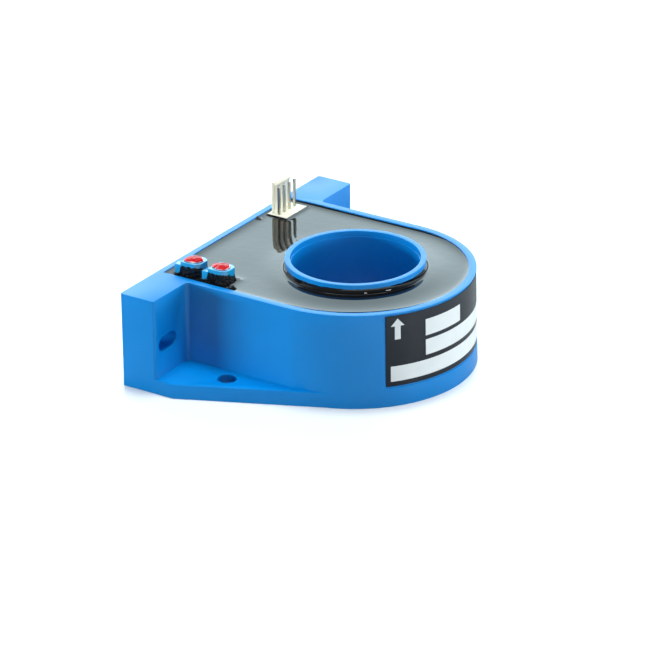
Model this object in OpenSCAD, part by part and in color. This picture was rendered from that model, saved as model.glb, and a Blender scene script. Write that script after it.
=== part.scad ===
// Hall effect current sensor: a moulded cup with a cable bore, a mounting flange and two feet,
// holding a gapped ring core and its amplifier board under potting resin.
// Millimetres. Origin on the bore axis at the base, +X towards the round end, +Z along the bore.

/* [Case] */
// Diameter of the hole that the primary cable passes through
bore_d = 35; // [28:0.5:37]
// Wall of the tube around the bore
tube_wall = 1.7; // [1.2:0.1:2.2]
// Height of the tube above the case rim
tube_rise = 2.8; // [1:0.1:6]
// Depth of the shallow step at the top of the bore
lip_depth = 1.6; // [0.5:0.1:3]
// Radial width of that step
lip_step = 0.2; // [0.1:0.05:0.5]
// Radius of the round end at the rim
case_r = 32.75; // [32:0.25:40]
// Height of the case from base to rim
case_h = 27; // [25.5:0.5:34]
// Thickness of the case side walls
wall = 2.1; // [1.5:0.1:2.8]
// Thickness of the case wall at the back face
back_wall = 1.75; // [1.2:0.05:2.8]
// Thickness of the case floor
floor_t = 2; // [1.2:0.1:3]
// How much wider the case is at the base than at the rim, on each side
draft = 0.3; // [0.1:0.05:0.8]

/* [Flange] */
// Full width of the mounting flange
flange_w = 96.5; // [92:0.5:120]
// Thickness of the flange from back to front
flange_t = 10.9; // [7:0.1:14]
// Distance from the bore axis to the back face
flange_back = 43.7; // [42:0.1:50]
// Chamfer along the upright edges of the flange
flange_chamfer = 0.4; // [0.2:0.1:1.5]
// Radius of the upright cove between each ear and the case wall
cove_r = 1.8; // [1:0.1:3]
// Length of each screw slot in the ears
slot_len = 8; // [6:0.5:10]
// Width of each screw slot
slot_w = 4.6; // [3.2:0.1:5.5]
// Distance between the two slot centres
slot_span = 84.5; // [80:0.5:86]
// Height of the slot centres above the base
slot_z = 13.3; // [9:0.1:18]

/* [Feet] */
// Thickness of the two triangular feet
foot_t = 4.15; // [3:0.05:6]
// Straight length of a foot's outer edge in front of the flange
foot_end = 5.5; // [3:0.5:8]
// Diameter of the screw hole in each foot
foot_hole_d = 5.4; // [4.3:0.1:6]
// Distance between the two foot holes
foot_hole_span = 74.8; // [74:0.2:78]
// Place of the foot holes along X
foot_hole_x = -17; // [-19:0.5:-14]

/* [Potting] */
// Depth of the resin surface below the rim
resin_drop = 0.55; // [0.3:0.05:1.5]
// Height that the resin climbs up the tube
meniscus_h = 1.1; // [0.5:0.1:1.5]
// Width of that resin edge
meniscus_w = 1; // [0.5:0.1:2]

/* [Core] */
// Radial clearance from the tube to the core
core_gap_in = 0.8; // [0.4:0.1:2]
// Radial clearance from the core to the case wall
core_gap_out = 2.1; // [1:0.1:3]
// Height of the ring core
core_h = 14; // [10:0.5:16]
// Width of the air gap cut through the core
air_gap = 2.2; // [1.8:0.1:4]

/* [Board] */
// Thickness of the circuit board
board_t = 1.6; // [0.8:0.1:2]
// Clearance between the board and the case walls
board_clear = 0.6; // [0.3:0.1:1.5]
// Clearance between the board and the tube
board_tube_clear = 1.2; // [0.5:0.1:3]
// Place of the board's front edge along X
board_front = -20.5; // [-21:0.5:-15]

/* [Header] */
// Distance between neighbouring pins
pin_pitch = 2.54; // [2.3:0.02:2.54]
// Side of the square pins
pin_w = 0.64; // [0.5:0.02:0.8]
// Length of the pins above the wafer
pin_len = 8.1; // [5:0.1:10]
// Depth of the wafer along X
wafer_x = 6.4; // [5.5:0.1:7]
// Height of the wafer above the board
wafer_h = 3.2; // [2.8:0.1:3.8]
// Height of the wafer's top above the resin
wafer_proud = 0.3; // [0.1:0.05:0.8]
// Height of the friction lock above the wafer
lock_h = 9.1; // [6:0.1:11]
// Thickness of the friction lock
lock_t = 0.95; // [0.7:0.05:1.3]
// Width of the friction lock along the row of pins
lock_w = 7.6; // [6:0.1:9]
// Distance from the wafer's back edge to the friction lock
lock_inset = 0.7; // [0.2:0.05:1.2]
// Clearance from the back wall to the wafer
header_gap = 0.9; // [0.5:0.05:4.5]
// Centre of the wafer along Y
header_y = 23.3; // [16:0.1:24.5]

/* [Trimmers] */
// Side of each trimmer's square body
trim_w = 5.8; // [5:0.1:6.6]
// Height of the trimmers above the resin
trim_proud = 4; // [2:0.1:5]
// Chamfer on the two corners of a trimmer that point to the round end
trim_chamfer = 1.25; // [0.5:0.05:1.5]
// Length of the low shoulder on one side of each trimmer
shoulder_x = 1.9; // [1:0.1:2.4]
// Width of that shoulder
shoulder_w = 3.2; // [2:0.1:4.5]
// Distance between the two trimmers
trim_pitch = 8.9; // [8.6:0.1:9.5]
// Centre of the trimmer nearer the flange, along X
trim_x = -34.65; // [-35:0.05:-33]
// Centre of both trimmers along Y
trim_y = -25.9; // [-26.2:0.1:-24]
// Diameter of the trimmer rotors
rotor_d = 4.2; // [3:0.1:4.6]
// Height of the drop of locking varnish on each rotor
varnish_h = 0.8; // [0.4:0.1:1.2]

/* [Label] */
// Angle around the bore axis that the label covers
label_angle = 86; // [60:1:110]
// Height of the label
label_h = 20.4; // [14:0.2:20.6]
// Height of the label's lower edge above the base
label_z = 5.8; // [5.2:0.1:6.2]
// Thickness of the label
label_t = 0.15; // [0.1:0.05:0.25]
// Depth of the label's recess in the case
recess_depth = 0.25; // [0.15:0.05:0.5]
// Border of bare recess around the label
recess_edge = 0.45; // [0.2:0.05:0.6]

/* [Hidden] */
$fn = 96;

// Cuts run this far past the faces they open
past = 1;

// Case
base_r = case_r + draft;
bore_r = bore_d / 2;
tube_r = bore_r + tube_wall;
tube_top = case_h + tube_rise;
cavity_r = case_r - wall;
cavity_back = flange_back - back_wall;
resin_z = case_h - resin_drop;
ear_x = -flange_back + flange_t;

// The coves and feet meet the case at a small angle and not at a tangent
cove_bite = 0.08;
foot_bite = 0.15;
foot_corner = [ear_x + foot_end, flange_w / 2];
foot_aim_r = base_r - foot_bite;
foot_aim_angle = atan2(foot_corner[1], foot_corner[0]) - acos(foot_aim_r / norm(foot_corner));

// Core and Hall element
core_in = tube_r + core_gap_in;
core_out = cavity_r - core_gap_out;
core_mid = (core_in + core_out) / 2;
hall_x = 4.1;
hall_t = 1.5;
hall_z = 3.2;
hall_lead_w = 0.4;
hall_lead_pitch = 1;
hall_low = floor_t + (core_h - hall_z) / 2;
hall_lead_x = [for (i = [0 : 3]) -core_mid + (i - 1.5) * hall_lead_pitch];

// Board
board_top = resin_z + wafer_proud - wafer_h;
board_low = board_top - board_t;
board_back = -cavity_back + board_clear;
board_y = cavity_r - board_clear;
tail_len = 0.9;
tail_low = board_low - tail_len;

// Small parts on the board
chip_l = 2;
chip_w = 1.25;
resistor_h = 0.5;
capacitor_h = 1;
chip_gap = 3.6;
chip_row_x = [-38.4, -32.6];
chip_row_y = -16;
chip_count = 6;
cap_row_x = -35.5;
cap_row_y = -14.2;
cap_count = 5;
amp_size = [3.9, 4.9, 1.4];
amp_at = [-27.5, 9.5];
amp_lift = 0.15;
amp_lead_pitch = 1.27;
amp_lead_w = 0.42;
amp_lead_out = 1.05;
amp_lead_t = 0.2;
amp_foot = 0.6;
sot_size = [1.3, 2.9, 0.95];
sot_at = [[-35.4, 8.4], [-35.4, 12.8]];
sot_lead_t = 0.15;
sot_lead_w = 0.42;
sot_lead_out = 0.55;
sot_lead_foot = 0.35;
sot_lead_side = 0.95;
tantalum_size = [3.5, 2.8, 1.9];
tantalum_at = [[-36, -7], [-36, 7]];

// Solder joints
joint_r = 0.5;
joint_pad_r = 0.85;
joint_tip_r = 0.6;
joint_h = 0.55;

// Header
pin_count = 4;
wafer_y = pin_count * pin_pitch;
wafer_top = board_top + wafer_h;
wafer_back = -cavity_back + header_gap;
pin_x = wafer_back + wafer_x / 2;
pin_tip = 0.25;
lock_root = 1.6;
lock_catch = 0.35;
lock_catch_h = 1.6;
pin_at = [for (i = [0 : pin_count - 1]) [pin_x, header_y + (i - (pin_count - 1) / 2) * pin_pitch]];

// Trimmers
trim_top = resin_z + trim_proud;
trim_stand = 0.5;
trim_low = board_top + trim_stand;
shoulder_drop = 1;
rotor_pocket = 0.5;
rotor_clear = 0.1;
rotor_proud = 0.25;
driver_slot_w = 0.6;
driver_slot_deep = 0.4;
varnish_edge = 0.15;
varnish_r = rotor_d / 2 - varnish_edge;
fill_inset = 0.3;
varnish_ball_r = (varnish_r * varnish_r + varnish_h * varnish_h) / (2 * varnish_h);
varnish_steps = 10;
trim_lead_d = 0.5;
trim_lead_at = [[-1.27, -1.9], [-1.27, 1.9], [1.9, 0]];
offset_at = [trim_x, trim_y];
gain_at = [trim_x + trim_pitch, trim_y];

// Resin skirts around the trimmers
skirt_h = 1.6;
skirt_w = 0.9;
skirt_t = 0.01;

case_blue = "dodgerblue";
lead_tin = "silver";

// A cup outline: a half round end joined at x = 0 to straight sides that run back to -back
module cup_form(r_low, r_high, back, h) {
    rotate([0, 0, -90])
        rotate_extrude(angle = 180)
            polygon([[0, 0], [r_low, 0], [r_high, h], [0, h]]);
    translate([-back, 0, 0])
        rotate([90, 0, 90])
            linear_extrude(back)
                polygon([[-r_low, 0], [r_low, 0], [r_high, h], [-r_high, h]]);
}

// The flange plate, its upright edges chamfered
module flange_plate() {
    c = flange_chamfer;
    x0 = -flange_back;
    y1 = flange_w / 2;
    linear_extrude(case_h)
        polygon([
            [x0, -y1 + c], [x0 + c, -y1], [ear_x - c, -y1], [ear_x, -y1 + c],
            [ear_x, y1 - c], [ear_x - c, y1], [x0 + c, y1], [x0, y1 - c]
        ]);
}

// One triangular foot, on the +Y side: its edge aims at the round end's base circle
module foot() {
    aim = foot_aim_r * [cos(foot_aim_angle), sin(foot_aim_angle)];
    linear_extrude(foot_t)
        polygon([
            [ear_x - past, foot_corner[1]], foot_corner, aim, [0, 0], [ear_x - past, 0]
        ]);
}

// The upright cove between an ear and the case wall, on the +Y side
module cove() {
    reach = cove_r - cove_bite;
    difference() {
        translate([ear_x - past, case_r - past, 0])
            cube([reach + past, reach + past, case_h]);
        translate([ear_x + reach, case_r + reach, -past])
            cylinder(r = cove_r, h = case_h + 2 * past);
    }
}

// An obround hole along X through the ear on the +Y side
module ear_slot() {
    straight = slot_len - slot_w;
    deep = flange_t + 2 * past;
    translate([-flange_back - past, slot_span / 2, slot_z])
        rotate([90, 0, 90]) {
            translate([-straight / 2, -slot_w / 2, 0])
                cube([straight, slot_w, deep]);
            for (side = [0, 1])
                mirror([side, 0, 0])
                    translate([straight / 2, 0, 0])
                        rotate([0, 0, -90])
                            rotate_extrude(angle = 180)
                                square([slot_w / 2, deep]);
        }
}

// A curved sheet that follows the drafted round end, from z = low to z = high
module end_sheet(angle, low, high, inner, outer) {
    function skin(z) = base_r - draft * z / case_h;
    rotate([0, 0, -angle / 2])
        rotate_extrude(angle = angle)
            polygon([
                [skin(low) + inner, low], [skin(low) + outer, low],
                [skin(high) + outer, high], [skin(high) + inner, high]
            ]);
}

module both_sides() {
    children();
    mirror([0, 1, 0])
        children();
}

module housing() {
    edge_angle = 180 * recess_edge / (PI * case_r);
    color(case_blue)
        difference() {
            union() {
                difference() {
                    union() {
                        cup_form(base_r, case_r, flange_back, case_h);
                        flange_plate();
                        both_sides() foot();
                        both_sides() cove();
                    }
                    translate([0, 0, floor_t])
                        cup_form(cavity_r, cavity_r, cavity_back, case_h);
                }
                cylinder(r = tube_r, h = tube_top);
            }
            translate([0, 0, -past])
                cylinder(r = bore_r, h = tube_top + 2 * past);
            translate([0, 0, tube_top - lip_depth])
                cylinder(r = bore_r + lip_step, h = lip_depth + past);
            both_sides() ear_slot();
            both_sides()
                translate([foot_hole_x, foot_hole_span / 2, -past])
                    cylinder(d = foot_hole_d, h = foot_t + 2 * past);
            end_sheet(
                label_angle + 2 * edge_angle, label_z - recess_edge,
                label_z + label_h + recess_edge, -recess_depth, past
            );
        }
}

module label() {
    color("darkslategray")
        end_sheet(label_angle, label_z, label_z + label_h, -recess_depth, label_t - recess_depth);
}

// Resin that climbs the sides of a trimmer
module resin_skirt(at) {
    translate([at[0], at[1], resin_z])
        hull() {
            translate([0, 0, -skirt_t])
                linear_extrude(skirt_t)
                    trimmer_outline(skirt_w);
            translate([0, 0, skirt_h - skirt_t])
                linear_extrude(skirt_t)
                    trimmer_outline(skirt_t);
        }
}

module potting_resin() {
    color("dimgray")
        difference() {
            union() {
                translate([0, 0, floor_t])
                    cup_form(cavity_r, cavity_r, cavity_back, resin_z - floor_t);
                translate([0, 0, resin_z])
                    cylinder(r1 = tube_r + meniscus_w, r2 = tube_r, h = meniscus_h);
                resin_skirt(offset_at);
                resin_skirt(gain_at);
            }
            translate([0, 0, -past])
                cylinder(r = tube_r, h = tube_top + 2 * past);
            buried_parts();
        }
}

// Everything that the resin closes round, wholly or in part
module buried_parts() {
    ring_core();
    hall_body();
    hall_leads();
    circuit_board();
    amplifier_body();
    amplifier_leads();
    transistor_bodies();
    transistor_leads();
    chip_resistors();
    chip_capacitors();
    tantalum_capacitors();
    solder_joints();
    wafer_block();
    for (p = pin_at)
        header_pin(p);
    trimmer_block(offset_at);
    trimmer_leads(offset_at);
    trimmer_block(gain_at);
    trimmer_leads(gain_at);
}

// Ring of strip steel with one air gap on the flange side
module ring_core() {
    color("darkgray")
        translate([0, 0, floor_t])
            difference() {
                cylinder(r = core_out, h = core_h);
                translate([0, 0, -past])
                    cylinder(r = core_in, h = core_h + 2 * past);
                translate([-core_out - past, -air_gap / 2, -past])
                    cube([core_out - core_in + 3 * past, air_gap, core_h + 2 * past]);
            }
}

module hall_body() {
    color("black")
        translate([-core_mid - hall_x / 2, -hall_t / 2, hall_low])
            cube([hall_x, hall_t, hall_z]);
}

module hall_leads() {
    low = hall_low + hall_z;
    color(lead_tin)
        for (x = hall_lead_x)
            translate([x - hall_lead_w / 2, -hall_lead_w / 2, low])
                cube([hall_lead_w, hall_lead_w, board_top - low]);
}

// Every hole that a lead or pin takes through the board
function lead_places() = concat(
    pin_at,
    [for (x = hall_lead_x) [x, 0]],
    [for (at = [offset_at, gain_at]) for (p = trim_lead_at) at + p]
);

module circuit_board() {
    color("darkgreen")
        difference() {
            translate([board_back, -board_y, board_low])
                cube([board_front - board_back, 2 * board_y, board_t]);
            translate([0, 0, board_low - past])
                cylinder(r = tube_r + board_tube_clear, h = board_t + 2 * past);
            for (p = lead_places())
                if (p[1] != 0)
                    translate([p[0], p[1], board_low - past])
                        cylinder(r = joint_r, h = board_t + 2 * past);
            for (x = hall_lead_x)
                translate([x - hall_lead_w / 2, -hall_lead_w / 2, board_low - past])
                    cube([hall_lead_w, hall_lead_w, board_t + 2 * past]);
        }
}

module amplifier_body() {
    color("black")
        translate([amp_at[0] - amp_size[0] / 2, amp_at[1] - amp_size[1] / 2, board_top + amp_lift])
            cube(amp_size);
}

// A bent lead, drawn from the body at x = 0 outwards to its foot on the board
module gull_lead(out, drop, foot, t, w) {
    translate([0, w / 2, 0])
        rotate([90, 0, 0])
            linear_extrude(w)
                polygon([
                    [0, drop], [out - foot, drop], [out - foot, t], [out, t],
                    [out, 0], [out - foot - t, 0], [out - foot - t, drop - t], [0, drop - t]
                ]);
}

module amplifier_leads() {
    color(lead_tin)
        translate([amp_at[0], amp_at[1], board_top])
            for (turn = [0, 180])
                rotate([0, 0, turn])
                    for (i = [0 : 3])
                        translate([amp_size[0] / 2, (i - 1.5) * amp_lead_pitch, 0])
                            gull_lead(
                                amp_lead_out, amp_lift + amp_size[2] / 2, amp_foot,
                                amp_lead_t, amp_lead_w
                            );
}

module transistor_bodies() {
    color("black")
        for (p = sot_at)
            translate([p[0] - sot_size[0] / 2, p[1] - sot_size[1] / 2, board_top])
                cube(sot_size);
}

module transistor_leads() {
    reach = sot_size[0] / 2;
    color(lead_tin)
        for (p = sot_at)
            translate([p[0], p[1], board_top]) {
                for (side = [-1, 1])
                    translate([reach, side * sot_lead_side, 0])
                        gull_lead(
                            sot_lead_out, sot_size[2] / 2, sot_lead_foot, sot_lead_t, sot_lead_w
                        );
                rotate([0, 0, 180])
                    translate([reach, 0, 0])
                        gull_lead(
                            sot_lead_out, sot_size[2] / 2, sot_lead_foot, sot_lead_t, sot_lead_w
                        );
            }
}

module chip(at, h) {
    translate([at[0] - chip_w / 2, at[1] - chip_l / 2, board_top])
        cube([chip_w, chip_l, h]);
}

module chip_resistors() {
    color("dimgray")
        for (x = chip_row_x)
            for (i = [0 : chip_count - 1])
                chip([x, chip_row_y + i * chip_gap], resistor_h);
}

module chip_capacitors() {
    color("tan")
        for (i = [0 : cap_count - 1])
            chip([cap_row_x, cap_row_y + i * chip_gap], capacitor_h);
}

module tantalum_capacitors() {
    color("goldenrod")
        for (p = tantalum_at)
            translate([
                p[0] - tantalum_size[0] / 2, p[1] - tantalum_size[1] / 2,
                board_low - tantalum_size[2]
            ])
                cube(tantalum_size);
}

// Solder that fills a plated hole and closes round the lead below the board
module solder_joint(at) {
    translate([at[0], at[1], board_low])
        cylinder(r = joint_r, h = board_t);
    translate([at[0], at[1], board_low - joint_h])
        cylinder(r1 = joint_tip_r, r2 = joint_pad_r, h = joint_h);
}

module solder_joints() {
    color("lightgray")
        difference() {
            for (p = lead_places())
                if (p[1] != 0)
                    solder_joint(p);
            for (p = pin_at)
                header_pin(p);
            trimmer_leads(offset_at);
            trimmer_leads(gain_at);
        }
}

// A square pin with four small chamfers at its upper end
module header_pin(at) {
    w = pin_w;
    low = tail_low;
    high = wafer_top + pin_len;
    outline = [
        [-w / 2, low], [w / 2, low], [w / 2, high - pin_tip],
        [w / 2 - pin_tip / 2, high], [-w / 2 + pin_tip / 2, high], [-w / 2, high - pin_tip]
    ];
    color(lead_tin)
        translate([at[0], at[1], 0])
            intersection() {
                translate([0, w / 2, 0])
                    rotate([90, 0, 0])
                        linear_extrude(w)
                            polygon(outline);
                rotate([0, 0, 90])
                    translate([0, w / 2, 0])
                        rotate([90, 0, 0])
                            linear_extrude(w)
                                polygon(outline);
            }
}

// The header's wafer and friction lock as one block, without its pin holes
module wafer_block() {
    translate([wafer_back, header_y - wafer_y / 2, board_top])
        cube([wafer_x, wafer_y, wafer_h]);
    translate([wafer_back + lock_inset, header_y + lock_w / 2, wafer_top])
        rotate([90, 0, 0])
            linear_extrude(lock_w)
                polygon([
                    [0, -lock_root], [lock_t, -lock_root], [lock_t, lock_h - lock_catch_h],
                    [lock_t + lock_catch, lock_h - lock_catch_h / 2],
                    [lock_t, lock_h], [0, lock_h]
                ]);
}

module header_wafer() {
    color("ivory")
        difference() {
            wafer_block();
            for (p = pin_at)
                header_pin(p);
        }
}

// A trimmer's square with its two chamfered corners, every side moved outwards by grow
module trimmer_outline(grow) {
    s = trim_w / 2 + grow;
    c = trim_chamfer + grow * (2 - sqrt(2));
    polygon([
        [-s, -s], [s - c, -s], [s, -s + c], [s, s - c], [s - c, s], [-s, s]
    ]);
}

// A trimmer's body without its rotor pocket: the chamfered square with a low shoulder behind
module trimmer_block(at) {
    s = trim_w / 2;
    translate([at[0], at[1], trim_low]) {
        linear_extrude(trim_top - trim_low)
            trimmer_outline(0);
        translate([-s - shoulder_x, -s, 0])
            cube([shoulder_x + s, shoulder_w, trim_top - trim_low - shoulder_drop]);
    }
}

module trimmer_body(at) {
    color("deepskyblue")
        difference() {
            trimmer_block(at);
            translate([at[0], at[1], trim_top - rotor_pocket])
                cylinder(r = rotor_d / 2 + rotor_clear, h = rotor_pocket + past);
        }
}

module trimmer_rotor(at) {
    h = rotor_pocket + rotor_proud;
    color("white")
        translate([at[0], at[1], trim_top - rotor_pocket])
            difference() {
                cylinder(d = rotor_d, h = h);
                translate([-rotor_d, -driver_slot_w / 2, h - driver_slot_deep])
                    cube([2 * rotor_d, driver_slot_w, driver_slot_deep + past]);
            }
}

// A drop of varnish on the rotor, round as a ball's cap, that also fills its driver slot
module trimmer_varnish(at) {
    rim_angle = acos((varnish_ball_r - varnish_h) / varnish_ball_r);
    cap = [
        for (i = [0 : varnish_steps])
            let (a = rim_angle * (1 - i / varnish_steps))
                [varnish_ball_r * sin(a), varnish_ball_r * cos(a) - varnish_ball_r + varnish_h]
    ];
    fill = 2 * (varnish_r - fill_inset);
    color("red")
        translate([at[0], at[1], trim_top + rotor_proud]) {
            rotate_extrude()
                polygon(concat([[0, 0]], cap));
            translate([-fill / 2, -driver_slot_w / 2, -driver_slot_deep])
                cube([fill, driver_slot_w, driver_slot_deep]);
        }
}

module trimmer_leads(at) {
    color(lead_tin)
        for (p = trim_lead_at)
            translate([at[0] + p[0], at[1] + p[1], tail_low])
                cylinder(d = trim_lead_d, h = trim_low - tail_low);
}

housing();
potting_resin();
label();
ring_core();
hall_body();
hall_leads();
circuit_board();
amplifier_body();
amplifier_leads();
transistor_bodies();
transistor_leads();
chip_resistors();
chip_capacitors();
tantalum_capacitors();
solder_joints();
header_wafer();
header_pin(pin_at[0]);  // header_pin_1
header_pin(pin_at[1]);  // header_pin_2
header_pin(pin_at[2]);  // header_pin_3
header_pin(pin_at[3]);  // header_pin_4
trimmer_body(offset_at);  // offset_trimmer_body
trimmer_rotor(offset_at);  // offset_trimmer_rotor
trimmer_varnish(offset_at);  // offset_trimmer_varnish
trimmer_leads(offset_at);  // offset_trimmer_leads
trimmer_body(gain_at);  // gain_trimmer_body
trimmer_rotor(gain_at);  // gain_trimmer_rotor
trimmer_varnish(gain_at);  // gain_trimmer_varnish
trimmer_leads(gain_at);  // gain_trimmer_leads
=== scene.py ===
import math

import bmesh
import bpy
import numpy as np
from mathutils import Matrix, Vector


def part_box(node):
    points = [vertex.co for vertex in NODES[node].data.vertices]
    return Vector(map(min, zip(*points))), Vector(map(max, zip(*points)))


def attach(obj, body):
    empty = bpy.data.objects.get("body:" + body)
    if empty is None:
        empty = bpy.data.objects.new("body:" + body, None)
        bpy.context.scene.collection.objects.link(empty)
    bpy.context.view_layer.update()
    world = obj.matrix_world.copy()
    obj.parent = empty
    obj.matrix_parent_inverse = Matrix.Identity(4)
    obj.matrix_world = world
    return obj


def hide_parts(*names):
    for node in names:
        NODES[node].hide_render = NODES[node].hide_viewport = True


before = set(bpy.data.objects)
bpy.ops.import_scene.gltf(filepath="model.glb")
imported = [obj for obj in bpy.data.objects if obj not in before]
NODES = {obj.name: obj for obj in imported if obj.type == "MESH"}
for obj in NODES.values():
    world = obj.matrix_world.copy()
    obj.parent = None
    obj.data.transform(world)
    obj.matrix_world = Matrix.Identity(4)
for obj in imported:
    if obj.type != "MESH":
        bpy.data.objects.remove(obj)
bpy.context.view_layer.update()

bl_info = {
    "name": "Hall Effect Current Sensor",
    "version": (1, 0, 0),
    "blender": (4, 5, 0),
    "location": "View3D > Sidebar > Sensor",
    "description": "Finishes, potting resin, label print and light for a hall effect current sensor",
    "category": "Object",
}

MM = 0.001
BODY = "root"
INNER_NODES = {
    "ring_core": "strip_steel",
    "hall_body": "moulded_epoxy",
    "hall_leads": "tinned_wire",
    "circuit_board": "solder_mask",
    "amplifier_body": "moulded_epoxy",
    "amplifier_leads": "tinned_wire",
    "transistor_bodies": "moulded_epoxy",
    "transistor_leads": "tinned_wire",
    "chip_resistors": "glazed_alumina",
    "chip_capacitors": "fired_titanate",
    "tantalum_capacitors": "yellow_epoxy",
    "solder_joints": "reflowed_solder",
    "offset_trimmer_leads": "tinned_wire",
    "gain_trimmer_leads": "tinned_wire",
}
TRIMMERS = ("offset_trimmer", "gain_trimmer")
TRIMMER_CLIP = 1.25


def node_box(name):
    """Lowest and highest corner of a CAD node as numpy arrays in millimetres."""
    low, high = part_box(name)
    return np.array(low) / MM, np.array(high) / MM


RESIN_LOW, RESIN_HIGH = node_box("potting_resin")
WAFER_LOW, WAFER_HIGH = node_box("header_wafer")
LABEL_LOW, LABEL_HIGH = node_box("label")


# ---------------------------------------------------------------- colours and shader nodes


def linear(code):
    """sRGB hex such as "2084CF" to linear red, green, blue and alpha 1, by the sRGB curve."""
    levels = [int(code[i:i + 2], 16) / 255 for i in (0, 2, 4)]
    return tuple(
        v / 12.92 if v <= 0.04045 else ((v + 0.055) / 1.055) ** 2.4 for v in levels
    ) + (1.0,)


def add(tree, kind, sockets=None, **settings):
    """Adds a shader node, sets its settings, and sets or links its sockets by name or number."""
    made = tree.nodes.new("ShaderNode" + kind)
    for key, value in settings.items():
        setattr(made, key, value)
    for key, value in (sockets or {}).items():
        if isinstance(value, bpy.types.NodeSocket):
            tree.links.new(value, made.inputs[key])
        else:
            made.inputs[key].default_value = value
    return made


def ramp(tree, fac, stops):
    """A colour ramp through (position, colour) stops."""
    made = add(tree, "ValToRGB", {"Fac": fac})
    ends = made.color_ramp.elements
    ends[0].position, ends[0].color = stops[0]
    ends[1].position, ends[1].color = stops[-1]
    for place, colour in stops[1:-1]:
        ends.new(place).color = colour
    return made.outputs["Color"]


def shade(colour, factor):
    """The same colour, lighter or darker by a factor."""
    return tuple(min(1.0, c * factor) for c in colour[:3]) + (1.0,)


def new_material(name):
    """An empty material with its tree, Principled shader and Object coordinates."""
    material = bpy.data.materials.new(name)
    material.use_nodes = True
    tree = material.node_tree
    tree.nodes.clear()
    shader = add(tree, "BsdfPrincipled")
    out = add(tree, "OutputMaterial")
    tree.links.new(shader.outputs["BSDF"], out.inputs["Surface"])
    where = add(tree, "TexCoord").outputs["Object"]
    return material, tree, shader, where


def noise(tree, where, size_mm, detail=2.0, rough=0.5):
    """Noise whose grains are about size_mm across."""
    return add(tree, "TexNoise", {
        "Vector": where, "Scale": 1 / (size_mm * MM), "Detail": detail, "Roughness": rough,
    }).outputs["Fac"]


def surface(name, colour, roughness, grain_mm, depth_mm, vary=0.06, swing=0.08, blotch_mm=9.0, **sockets):
    """A finish with a grain of that size and depth, blotches of colour and swings of roughness."""
    material, tree, shader, where = new_material(name)
    blotch = noise(tree, where, blotch_mm, 3.0)
    grain = noise(tree, where, grain_mm, 3.0, 0.6)
    tint = ramp(tree, blotch, [(0.3, shade(colour, 1 - vary)), (0.7, shade(colour, 1 + vary))])
    gloss = add(tree, "MapRange", {
        "Value": grain, "From Min": 0.3, "From Max": 0.7,
        "To Min": max(0.02, roughness - swing), "To Max": roughness + swing,
    }).outputs["Result"]
    bump = add(tree, "Bump", {"Height": grain, "Strength": 1.0, "Distance": depth_mm * MM})
    tree.links.new(tint, shader.inputs["Base Color"])
    tree.links.new(gloss, shader.inputs["Roughness"])
    tree.links.new(bump.outputs["Normal"], shader.inputs["Normal"])
    for key, value in sockets.items():
        shader.inputs[key.replace("_", " ")].default_value = value
    return material


# ---------------------------------------------------------------- mesh helpers


def ripple(x, y, wave, count, seed):
    """Sum of count sine waves of about that wavelength, in random directions, scaled to about 1."""
    rng = np.random.default_rng(seed)
    turn = rng.uniform(0, 2 * np.pi, count)
    start = rng.uniform(0, 2 * np.pi, count)
    k = 2 * np.pi / (wave * rng.uniform(0.75, 1.35, count))
    total = np.zeros(np.broadcast(x, y).shape)
    for a, p, q in zip(turn, start, k):
        total += np.sin(q * (x * np.cos(a) + y * np.sin(a)) + p)
    return total / math.sqrt(count)


def lumps(points, wave, count, seed):
    """Ripples along random directions in space, for points of any shape (..., 3)."""
    rng = np.random.default_rng(seed)
    way = rng.normal(size=(count, 3))
    way /= np.linalg.norm(way, axis=1)[:, None]
    start = rng.uniform(0, 2 * np.pi, count)
    k = 2 * np.pi / (wave * rng.uniform(0.7, 1.4, count))
    return np.sin((points @ way.T) * k + start).sum(axis=-1) / math.sqrt(count)


def shell(rings, closed=False):
    """Faces over rings of points, shape (rings, points, 3) in mm: every ring closes on itself.

    A closed shell joins its last ring to its first. An open one ends in two poles, so its first
    and last rings are each one point. Faces are turned so that the enclosed volume is positive.
    """
    count, around = rings.shape[:2]
    i, j = np.meshgrid(np.arange(count - 1 + closed), np.arange(around), indexing="ij")
    low, high = i % count, (i + 1) % count
    near, far = j, (j + 1) % around
    quads = np.stack([low * around + near, low * around + far, high * around + far, high * around + near], -1)
    quads = quads.reshape(-1, 4)
    points = rings.reshape(-1, 3)
    a, b, c, d = (points[quads[:, n]] for n in range(4))
    volume = (np.einsum("ij,ij->i", a, np.cross(b, c)) + np.einsum("ij,ij->i", a, np.cross(c, d))).sum()
    if volume < 0:
        quads = quads[:, ::-1]
    return points, quads


def mesh_from(name, points, faces, sharp=40):
    """A smooth mesh from points in mm, doubles merged, with edges over the sharp angle kept."""
    mesh = bpy.data.meshes.new(name)
    mesh.from_pydata((points * MM).tolist(), [], faces.tolist())
    work = bmesh.new()
    work.from_mesh(mesh)
    bmesh.ops.remove_doubles(work, verts=work.verts, dist=2e-7)
    work.to_mesh(mesh)
    work.free()
    mesh.polygons.foreach_set("use_smooth", np.ones(len(mesh.polygons), dtype=bool))
    mesh.set_sharp_from_angle(angle=math.radians(sharp))
    mesh.update()
    return mesh


def place(name, mesh, material, slot, replaced=()):
    """Puts a piece into the scene: it rides on the body and stands for the nodes named."""
    piece = bpy.data.objects.new(name, mesh)
    bpy.context.scene.collection.objects.link(piece)
    mesh.materials.clear()
    mesh.materials.append(material)
    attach(piece, BODY)
    if replaced:
        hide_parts(*replaced)
    return piece


def dress(name, material):
    """Gives a CAD node its finish."""
    for place_ in NODES[name].material_slots:
        place_.material = material


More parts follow.
